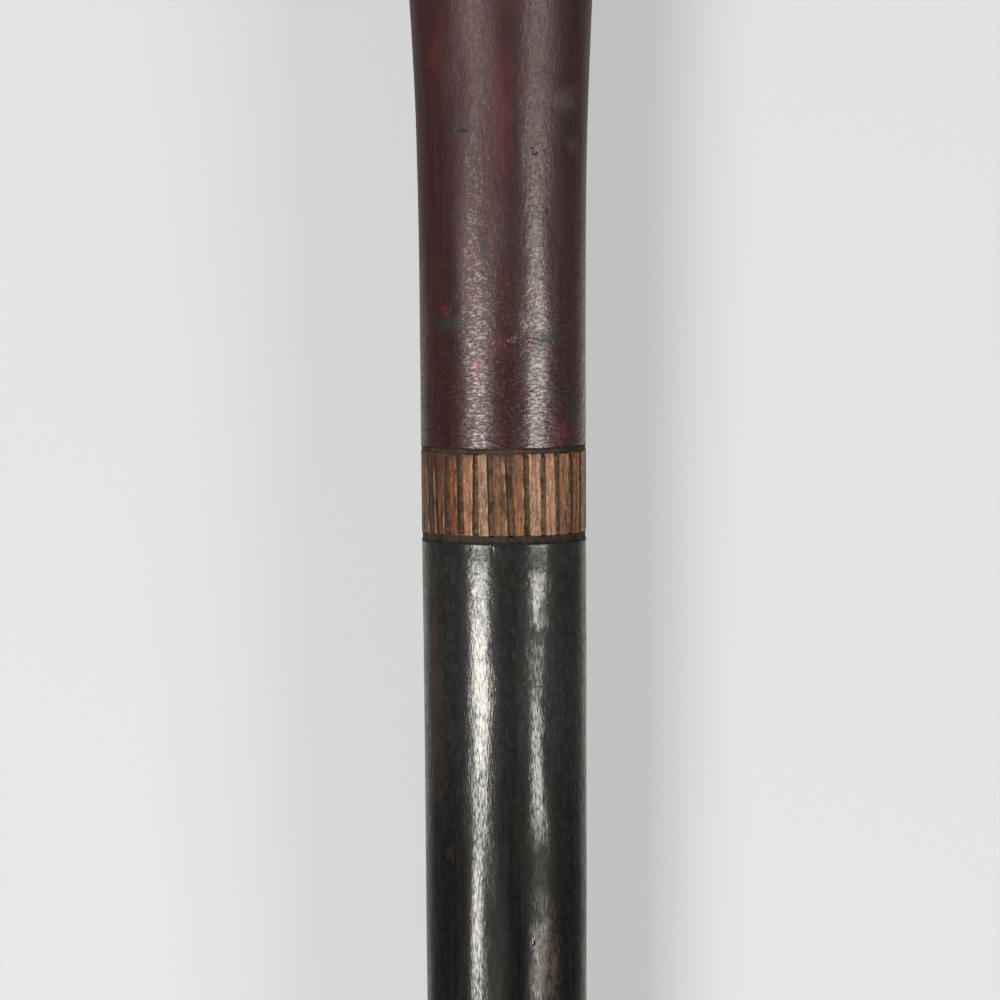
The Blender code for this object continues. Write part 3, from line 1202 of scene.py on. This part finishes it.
glints = patches(place, 0.0006, 0.0013, detail=2, distortion=0.4)
roughness = shift(0.50, 0.34, near_band) + swing(blotches, 0.10) + smudged * 0.10
polish = shift(0.02, 0.14, near_band) + right_side * shift(0.10, 0.44, near_band)
polish = polish + (ease(glints, 0.38, 0.72) - 0.35) * shift(0.06, 0.85, near_band)
polish = polish + swing(grain, 0.2) + swing(wrinkles, 1.3) * near_band - creases * 0.45
polish = polish + (swing(fine, 0.9) + right_side * 0.12 - 0.02) * in_middle
shade(
    tree, colour, held(roughness), bumped(tree, height, RED_RELIEF),
    held(polish) * (1 - smudged * 0.5),
    Specular_IOR_Level=0.5, Specular_Tint=(1.0, 0.82, 0.87, 1.0),
    Coat_Roughness=0.25, Coat_IOR=1.8,
)
print("red paint:", len(tree.nodes), "nodes")

# %% [markdown]
# ### The black paint
#
# The black is smoother and shinier than the red, like a polish rubbed into the wood along its
# length. It is grey near the band, deep black a hand's width below it, and greyer again towards
# the foot. Brown wood shows through in thin streaks, and at one place the polish is worn off.
# Its dull and its bright patches are written down too, because they break the lines of shine.

# %% Write down the marks in the black paint
BROWN_WEAR = (
    (1.0690, 30, 0.0280, 0.0090, 1.0),
    (1.0560, 27, 0.0220, 0.0110, 0.9),
    (1.0790, 33, 0.0140, 0.0040, 0.8),
)
RED_STREAKS = (
    (1.1420, -58, 0.0700, 0.0052, 0.8),
    (1.1300, -52, 0.0500, 0.0024, 0.5),
    (1.0980, -44, 0.0070, 0.0026, 0.7),
)
DULL_PATCHES = (
    (1.1530, 19, 0.0074, 0.0090, 0.9),
    (1.1530, 28, 0.0074, 0.0090, 0.9),
    (1.1460, 22, 0.0200, 0.0120, 0.6),
    (1.1380, 31, 0.0900, 0.0040, 0.9),
    (1.1380, 15.5, 0.0900, 0.0036, 0.8),
    (1.1725, 25, 0.0090, 0.0140, 0.7),
    (1.1735, -17, 0.0070, 0.0120, 0.6),
    (1.0940, 25, 0.0240, 0.0170, 0.95),
    (1.0840, 25, 0.0120, 0.0170, 0.8),
)
BRIGHT_PATCHES = (
    (1.1400, -17, 0.0360, 0.0068, 1.9),
    (1.0800, -19, 0.0460, 0.0060, 0.7),
    (1.1620, -18, 0.0200, 0.0040, 0.5),
    (1.1620, 23.5, 0.0130, 0.0070, 1.0),
    (1.1160, 24, 0.0360, 0.0060, 0.6),
    (1.1370, 23, 0.0260, 0.0040, 0.5),
)
PITS = (
    (1.0757, 19.2, 0.0014, 0.0012, 1.0),
    (1.1745, -8.0, 0.0024, 0.0007, 0.8),
    (1.1405, 24.0, 0.0006, 0.0030, 0.6),
)

print("patches in the shine:", len(DULL_PATCHES + BRIGHT_PATCHES))

# %% Find the marks in the black paint
SWIRLS_START = (1.140, 1.172)
GREY_STARTS = (1.085, 1.150)
LOWER_GREY_ENDS = (0.90, 1.03)
RUBBING_ENDS = (1.095, 1.130)

tree, place, along, angle = start_paint(BLACK_PAINT)
near_band = ease(along, *SWIRLS_START)
greyed = ease(along, *GREY_STARTS) + (1 - ease(along, *LOWER_GREY_ENDS)) * 0.6
rubbed = 1 - ease(along, *RUBBING_ENDS)

patchy = strayed(stretched(place, 3), along, angle, 0.0020, 0.008)
worn = marks(patchy, BROWN_WEAR)
dull = marks(patchy, DULL_PATCHES)
bright = marks(patchy, BRIGHT_PATCHES)
pits = marks((along, angle), PITS)
print("black paint: its marks are found")

# %% [markdown]
# The rubbing left fine lengthwise scratches. They are the `threads` below: they lighten the
# colour a little, they are the relief, and above all they part the polish, so that the shine
# breaks into threads as well. Near the band the hand turned, and the scratches become swirls.

# %% Colour and polish the black paint
SOOT = rgb(4, 4, 5)
GREY_BLACK = rgb(25, 26, 28)
WOOD_THROUGH_BLACK = rgb(34, 29, 22)
CHALKY = rgb(47, 48, 50)
RED_BELOW = rgb(54, 35, 29)
WORN_WOOD = rgb(82, 67, 53)
PIT_SHADE = rgb(14, 13, 12)
SCRATCHED = rgb(52, 53, 55)
BLACK_RELIEF = 0.00005

streaks = patches(place, 0.040, 0.0018, detail=4, roughness=0.6)
mottle = patches(place, 0.0030, 0.0014, detail=4, roughness=0.65)
threads = patches(place, 0.0020, 0.00042, detail=2, roughness=0.65)
colour = glazed(
    tree, SOOT,
    (GREY_BLACK, greyed),
    (WOOD_THROUGH_BLACK, ease(streaks, 0.45, 0.70) * shift(0.4, 0.7, greyed)),
    (CHALKY, ease(mottle, 0.45, 0.70) * shift(0.1, 0.6, greyed)),
    (RED_BELOW, marks(patchy, RED_STREAKS) * 0.7),
    (WORN_WOOD, worn * ease(mottle, 0.35, 0.60) * 0.8),
    # painted shade in the pits
    (PIT_SHADE, pits),
    (SCRATCHED, ease(threads, 0.60, 0.80) * shift(0.1, 0.4, greyed)),
)

swirls = patches(place, 0.0012, 0.0022, detail=3, distortion=1.4)
fine = patches(place, 0.0010, 0.0010, detail=3)
lumps = patches(place, 0.0090, 0.0040, detail=1)
height = shift(threads * shift(0.8, 0.4, rubbed), swirls * 1.2, near_band)
height = height + fine * 0.4 + lumps * 1.2 - pits * 2.0

roughness = 0.36 + dull * 0.16 + swing(streaks, 0.15)
thread_strength = shift(shift(3.4, 2.4, rubbed), 1.6, near_band)
polish = shift(0.46, 0.34, rubbed) + (threads - 0.5) * thread_strength
polish = polish + swing(swirls, 1.6) * near_band + swing(lumps, 0.5) + bright * 0.25
shade(
    tree, colour, held(roughness), bumped(tree, height, BLACK_RELIEF),
    held(polish) * (1 - dull * 0.95) * (1 - worn * 0.7),
    Specular_IOR_Level=0.2, Coat_Roughness=0.15, Coat_IOR=1.8,
)
print("black paint:", len(tree.nodes), "nodes")

# %% [markdown]
# ### The bare wood
#
# The ridges were left unpainted. Each took its own tint from the grain it was cut across, from
# pale tan to a strong orange brown, and the numbers `light` and `warm` on its points say which.
# Fibres, pores and short pale flecks run down it, and its right edge has a painted highlight in
# places.
# A wood texture from a picture would run over all ridges alike, and would miss that each was
# cut through another layer of the wood.

# %% Colour the ridges
def kept(name):
    """A number kept on the points, read by a material."""
    return Field(tree, put(tree, "ShaderNodeAttribute", attribute_name=name).outputs["Fac"])


DARK_TAN, PALE_TAN = rgb(44, 30, 22), rgb(196, 155, 128)
DARK_ORANGE, PALE_ORANGE = rgb(44, 25, 14), rgb(200, 112, 57)
PINKISH_WOOD = rgb(152, 88, 76)
FLECK = rgb(226, 200, 172)
ARRIS_HIGHLIGHT = rgb(212, 176, 150)
ARRIS_STRETCH = 0.0040

tree, place, along, angle = start_paint(BARE_WOOD)
fibres = patches(place, 0.0090, 0.0005, detail=4, roughness=0.7)
stains = patches(place, 0.0080, 0.0012, detail=4)
pores = patches(place, 0.0024, 0.0003, detail=2, roughness=0.6)
flecks = patches(place, 0.0012, 0.0006, detail=3, roughness=0.7)
streaky = swing(fibres, 2.0) + swing(stains, 1.2) + swing(pores, 1.0) + swing(flecks, 1.3)
light = kept("light")
light = held(light + streaky * (light + 0.25))
pale = mix(tree, DARK_TAN, PALE_TAN, light)
orange = mix(tree, DARK_ORANGE, PALE_ORANGE, light)

flute = kept("flute")
across = kept("column") - flute * COLUMNS_PER_FLUTE
edge_place = vector(tree, along / ARRIS_STRETCH, flute * FAR_APART, across)
# a painted highlight along the right edge of each ridge, broken up by noise
arris_highlight = between(across, 1.55, 2.15, 0.25) * ease(noise(edge_place, detail=2), 0.45, 0.62)
pinkish = patches(place, 0.0050, 0.0010, detail=2)
ridge_colour = glazed(
    tree, pale,
    (orange, held(kept("warm") + swing(stains, 1.2))),
    (PINKISH_WOOD, ease(pinkish, 0.52, 0.70) * ease(light, 0.15, 0.45) * 0.5),
    (FLECK, ease(flecks, 0.56, 0.72) * ease(light, 0.20, 0.60) * 0.45),
    (ARRIS_HIGHLIGHT, arris_highlight * 0.35),
)
print("ridges coloured")

# %% [markdown]
# The grooves hold years of grime. It lies in clumps, and a little more of it where the chisel
# stepped, over a floor of painted shade that is dusty in patches and paler on the right side of the
# band than on the left. The walls keep the colour of the cut wood, darkened as painted shade. In a
# few places the wood has split, and those cracks are placed one by one.

# %% Colour the grooves
SHADED_DARK_WALL, SHADED_PALE_WALL = rgb(52, 35, 25), rgb(95, 68, 50)
SHADED_FLOOR, PALER_SHADED_FLOOR = rgb(48, 30, 21), rgb(92, 68, 50)
DUSTY_FLOOR, PALER_DUSTY_FLOOR = rgb(86, 60, 45), rgb(150, 114, 88)
GRIME = rgb(28, 19, 13)
SPLIT_WOOD = rgb(20, 12, 8)
CRACKS = (
    (1.1927, 3.2, 0.0028, 0.0014, 0.9),
    (1.1893, 4.3, 0.0056, 0.0010, 0.9),
    (1.1854, -9.3, 0.0044, 0.0010, 0.8),
    (1.1978, 28.5, 0.0026, 0.0012, 0.7),
    (1.1917, 27.8, 0.0032, 0.0010, 0.7),
    (1.1930, 53.5, 0.0040, 0.0010, 1.0),
    (1.1803, 53.5, 0.0030, 0.0010, 0.8),
    (1.1858, 66.5, 0.0040, 0.0010, 0.7),
)

flute_cut = kept("flute_cut")
grime = patches(place, 0.0016, 0.0009, detail=3, roughness=0.6)
clumps = patches(place, 0.0032, 0.0024, detail=3)
paler_side = shift(0.10, 0.34, ease_around(angle, -38, -24))
paler_side = paler_side + ease_around(angle, 14, 26) * 0.7 + ease_around(angle, 44, 62) * 0.3
# painted shade on the groove floor, paler on the right side of the band
shaded = mix(tree, SHADED_FLOOR, PALER_SHADED_FLOOR, paler_side)
dusted = mix(tree, DUSTY_FLOOR, PALER_DUSTY_FLOOR, paler_side)
dirt = ease(clumps + swing(grime, 0.8) + swing(kept("chisel"), 0.08), 0.55, 0.66)
floor_colour = glazed(tree, shaded, (dusted, ease(grime, 0.30, 0.70)), (GRIME, dirt * 0.8))
# painted shade on the groove walls
shaded_wall_colour = mix(tree, SHADED_DARK_WALL, SHADED_PALE_WALL, ease(fibres, 0.40, 0.65))
groove_colour = mix(tree, shaded_wall_colour, floor_colour, ease(flute_cut, 0.55, 0.85))

cracked = strayed(place, along, angle, 0.0010, 0.0020)
colour = glazed(
    tree, ridge_colour,
    (groove_colour, ease(flute_cut + swing(grime, 0.12), 0.02, 0.12)),
    (SPLIT_WOOD, marks(cracked, CRACKS)),
)
print("grooves coloured, with", len(CRACKS), "cracks")

# %% [markdown]
# Under the ridges the ring groove is a dark brown, with a thin black line where the black paint
# begins. The groove above them is browner, between two nearly black lines, and the upper one, just
# under the red paint's edge, is a painted shadow of that edge. Both borders are ragged, because the
# painter cut in by hand, and in a few places the paint ran over the wood.

# %% Finish the bare wood
BAND_SMEARS = (
    (1.1985, 1, 0.0034, 0.0110, 0.9),
    (1.1986, -38, 0.0026, 0.0120, 0.7),
    (1.1986, 32, 0.0018, 0.0140, 0.5),
    (1.1965, -50, 0.0080, 0.0050, 1.0),
    (1.1935, 8.5, 0.0070, 0.0050, 0.6),
)
LOWER_RING, PALE_LOWER_RING = rgb(28, 18, 12), rgb(54, 36, 26)
UPPER_RING, PALE_UPPER_RING = rgb(40, 22, 16), rgb(72, 47, 34)
LOWER_LINE = rgb(18, 11, 7)
INNER_LINE = rgb(18, 12, 8)
PAINT_EDGE_SHADOW = rgb(20, 14, 12)
SMEARED_PAINT = rgb(62, 40, 40)
WOOD_RELIEF = 0.00014
WOOD_ROUGHNESS = 0.62

from_bottom = kept("band_place")
uneven = swing(grime, 0.0008) + swing(clumps, 0.0012)
from_top = BAND_HEIGHT - from_bottom + uneven
cloudy = clumps + (grime - 0.5)
lower_ring = mix(tree, LOWER_RING, PALE_LOWER_RING, ease(cloudy, 0.35, 0.65))
upper_ring = glazed(
    tree, UPPER_RING,
    (PALE_UPPER_RING, ease(cloudy, 0.40, 0.65)),
    (INNER_LINE, between(from_top, 0.0009, 0.0014, 0.0003)),
    # painted shadow of the red paint's edge
    (PAINT_EDGE_SHADOW, 1 - ease(from_top, 0.0002, 0.0005)),
)
smeared = marks(strayed(place, along, angle, 0.0014, 0.0060), BAND_SMEARS)
colour = glazed(
    tree, colour,
    (lower_ring, 1 - ease(from_bottom, LOWER_GROOVE_WIDTH - 0.0003, LOWER_GROOVE_WIDTH)),
    (LOWER_LINE, 1 - ease(from_bottom + uneven, 0.0001, 0.0005)),
    (upper_ring, 1 - ease(from_top, 0.0012, 0.0015)),
    (SMEARED_PAINT, smeared * 0.8),
)
height = fibres * 1.5 + pores * 0.5 + grime * 0.4
shade(tree, colour, WOOD_ROUGHNESS, bumped(tree, height, WOOD_RELIEF), Specular_IOR_Level=0.3)
print("bare wood:", len(tree.nodes), "nodes")

# %% [markdown]
# ## Floor and light
#
# Long soft lights hang over the staff, a pair at the grip and a dimmer pair at the foot. One of
# each pair hangs on either side, so two lines of shine run along the pole. Between them the top
# of the pole faces nothing bright and stays dark. Two narrow lights hang beyond the ends, in
# line with the left ones: where the relief tips the paint towards an end, they keep it shining.
# Degrees count from straight above towards -Y.
#
# The floor is plain, pale and matt, and it glows faintly, so that it stays even where the staff
# and the lights leave it dimmer. The polish would mirror it in two broad pale bands, where a
# studio has dark cards beside the object. So the floor is left out of the reflections, and the
# world below gives the pole's edges their thin pale rim instead.

# %% Lay the floor
FLOOR_SIZE = 40.0
FLOOR_GREY = (0.29, 0.30, 0.325, 1)
FLOOR_ROUGHNESS = 0.9
FLOOR_GLOW = (0.98, 0.99, 1.0, 1)
FLOOR_GLOW_STRENGTH = 0.40

pale_floor = bpy.data.materials.new("pale_floor")
pale_floor.use_nodes = True
pale_floor.node_tree.nodes.clear()
shade(
    pale_floor.node_tree, FLOOR_GREY, FLOOR_ROUGHNESS,
    Emission_Color=FLOOR_GLOW, Emission_Strength=FLOOR_GLOW_STRENGTH,
)

bpy.ops.mesh.primitive_plane_add(size=FLOOR_SIZE, location=(0, 0, 0))
floor = bpy.context.object
floor.name = "floor"
floor.data.materials.append(pale_floor)
floor.visible_glossy = False
print("floor:", FLOOR_SIZE, "m across")

# %% Hang the lights
LIGHT_DISTANCE = 2.0
LIGHT_LENGTH = 1.2
WIDE = 0.80
NARROW = 0.25
WARM_WHITE = (1.0, 0.975, 0.88)
LIGHTS = (
    ("left_at_grip", 0.66, -36, WIDE, 36),
    ("right_at_grip", 0.66, 49, WIDE, 24),
    ("left_at_foot", -0.55, -36, WIDE, 16),
    ("right_at_foot", -0.55, 49, WIDE, 11),
    ("beyond_the_head", 2.10, -36, NARROW, 7),
    ("beyond_the_foot", -2.10, -36, NARROW, 7),
)


def strip_light(name, along, degrees_from_top, width, power):
    """A long light that hangs along the staff and faces it."""
    data = bpy.data.lights.new(name, "AREA")
    data.shape = "RECTANGLE"
    data.size = LIGHT_LENGTH
    data.size_y = width
    data.energy = power
    data.color = WARM_WHITE
    light = bpy.data.objects.new(name, data)
    bpy.context.scene.collection.objects.link(light)
    turn = math.radians(degrees_from_top)
    away = Vector((0, -math.sin(turn), math.cos(turn)))
    x_axis = Vector((1, 0, 0))
    facing = Matrix((x_axis, away.cross(x_axis), away)).transposed().to_4x4()
    light.matrix_world = Matrix.Translation(on_axis(along) + away * LIGHT_DISTANCE) @ facing
    light.visible_camera = False


for row in LIGHTS:
    strip_light(*row)
print("lights:", [name for name, *_ in LIGHTS])

# %% Surround the staff with a dim studio
WALL_GLOW = 0.14
CEILING_GLOW = 0.06
GLOW_FROM_BELOW = 0.40

world = bpy.data.worlds.new("studio")
bpy.context.scene.world = world
world.use_nodes = True
wall = world.node_tree
wall.nodes.clear()
_, _, up = parts(Field(wall, put(wall, "ShaderNodeTexCoord").outputs["Generated"]))
brightness = shift(WALL_GLOW, CEILING_GLOW, ease(up, 0.0, 0.5))
brightness = brightness + (1 - ease(up, -0.88, -0.58)) * GLOW_FROM_BELOW
shine = put(wall, "ShaderNodeBackground", {"Color": (*WARM_WHITE, 1), "Strength": brightness})
put(wall, "ShaderNodeOutputWorld", {"Surface": shine.outputs[0]})
bpy.context.scene.view_settings.view_transform = "Standard"
print("studio ready")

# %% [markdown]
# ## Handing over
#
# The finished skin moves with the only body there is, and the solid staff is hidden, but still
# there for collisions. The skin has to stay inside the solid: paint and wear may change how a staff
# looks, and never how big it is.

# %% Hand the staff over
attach(staff, "root")
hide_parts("staff")
